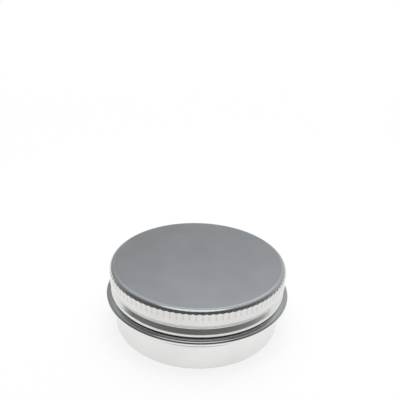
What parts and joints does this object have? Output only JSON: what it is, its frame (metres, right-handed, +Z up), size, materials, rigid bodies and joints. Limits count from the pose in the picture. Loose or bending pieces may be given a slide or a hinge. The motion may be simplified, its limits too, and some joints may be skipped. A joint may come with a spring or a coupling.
{
  "type": "screw-top keepsake tin",
  "caption": "Round flat aluminium tin for milk teeth, with a knurled screw lid, a foam liner disc and a folded flange round the pot.",
  "frame": {"origin": "centre of the foot ring's plane, under the middle of the tin", "axes": "+Z up, the tin's axis of revolution; X and Y are any two level directions"},
  "size_m": [0.068, 0.068, 0.0255],
  "materials": {
    "pot_aluminium": "bright pressed aluminium, satin",
    "lid_aluminium": "fine brushed aluminium on top, bright pressed side",
    "liner_foam": "closed-cell white foam sheet"
  },
  "bodies": {
    "pot": {"tin_base": "pot_aluminium"},
    "liner": {"lid_liner": "liner_foam"},
    "lid": {"lid_shell": "lid_aluminium"}
  },
  "joints": [
    {"name": "lid_lift", "type": "slide", "parent": "pot", "child": "liner", "axis": [0, 0, 1], "range_m": [0, 0.03]},
    {"name": "lid_turn", "type": "hinge", "parent": "liner", "child": "lid", "pos_m": [0, 0, 0.0255], "axis": [0, 0, 1], "range_deg": [0, 450]}
  ]
}
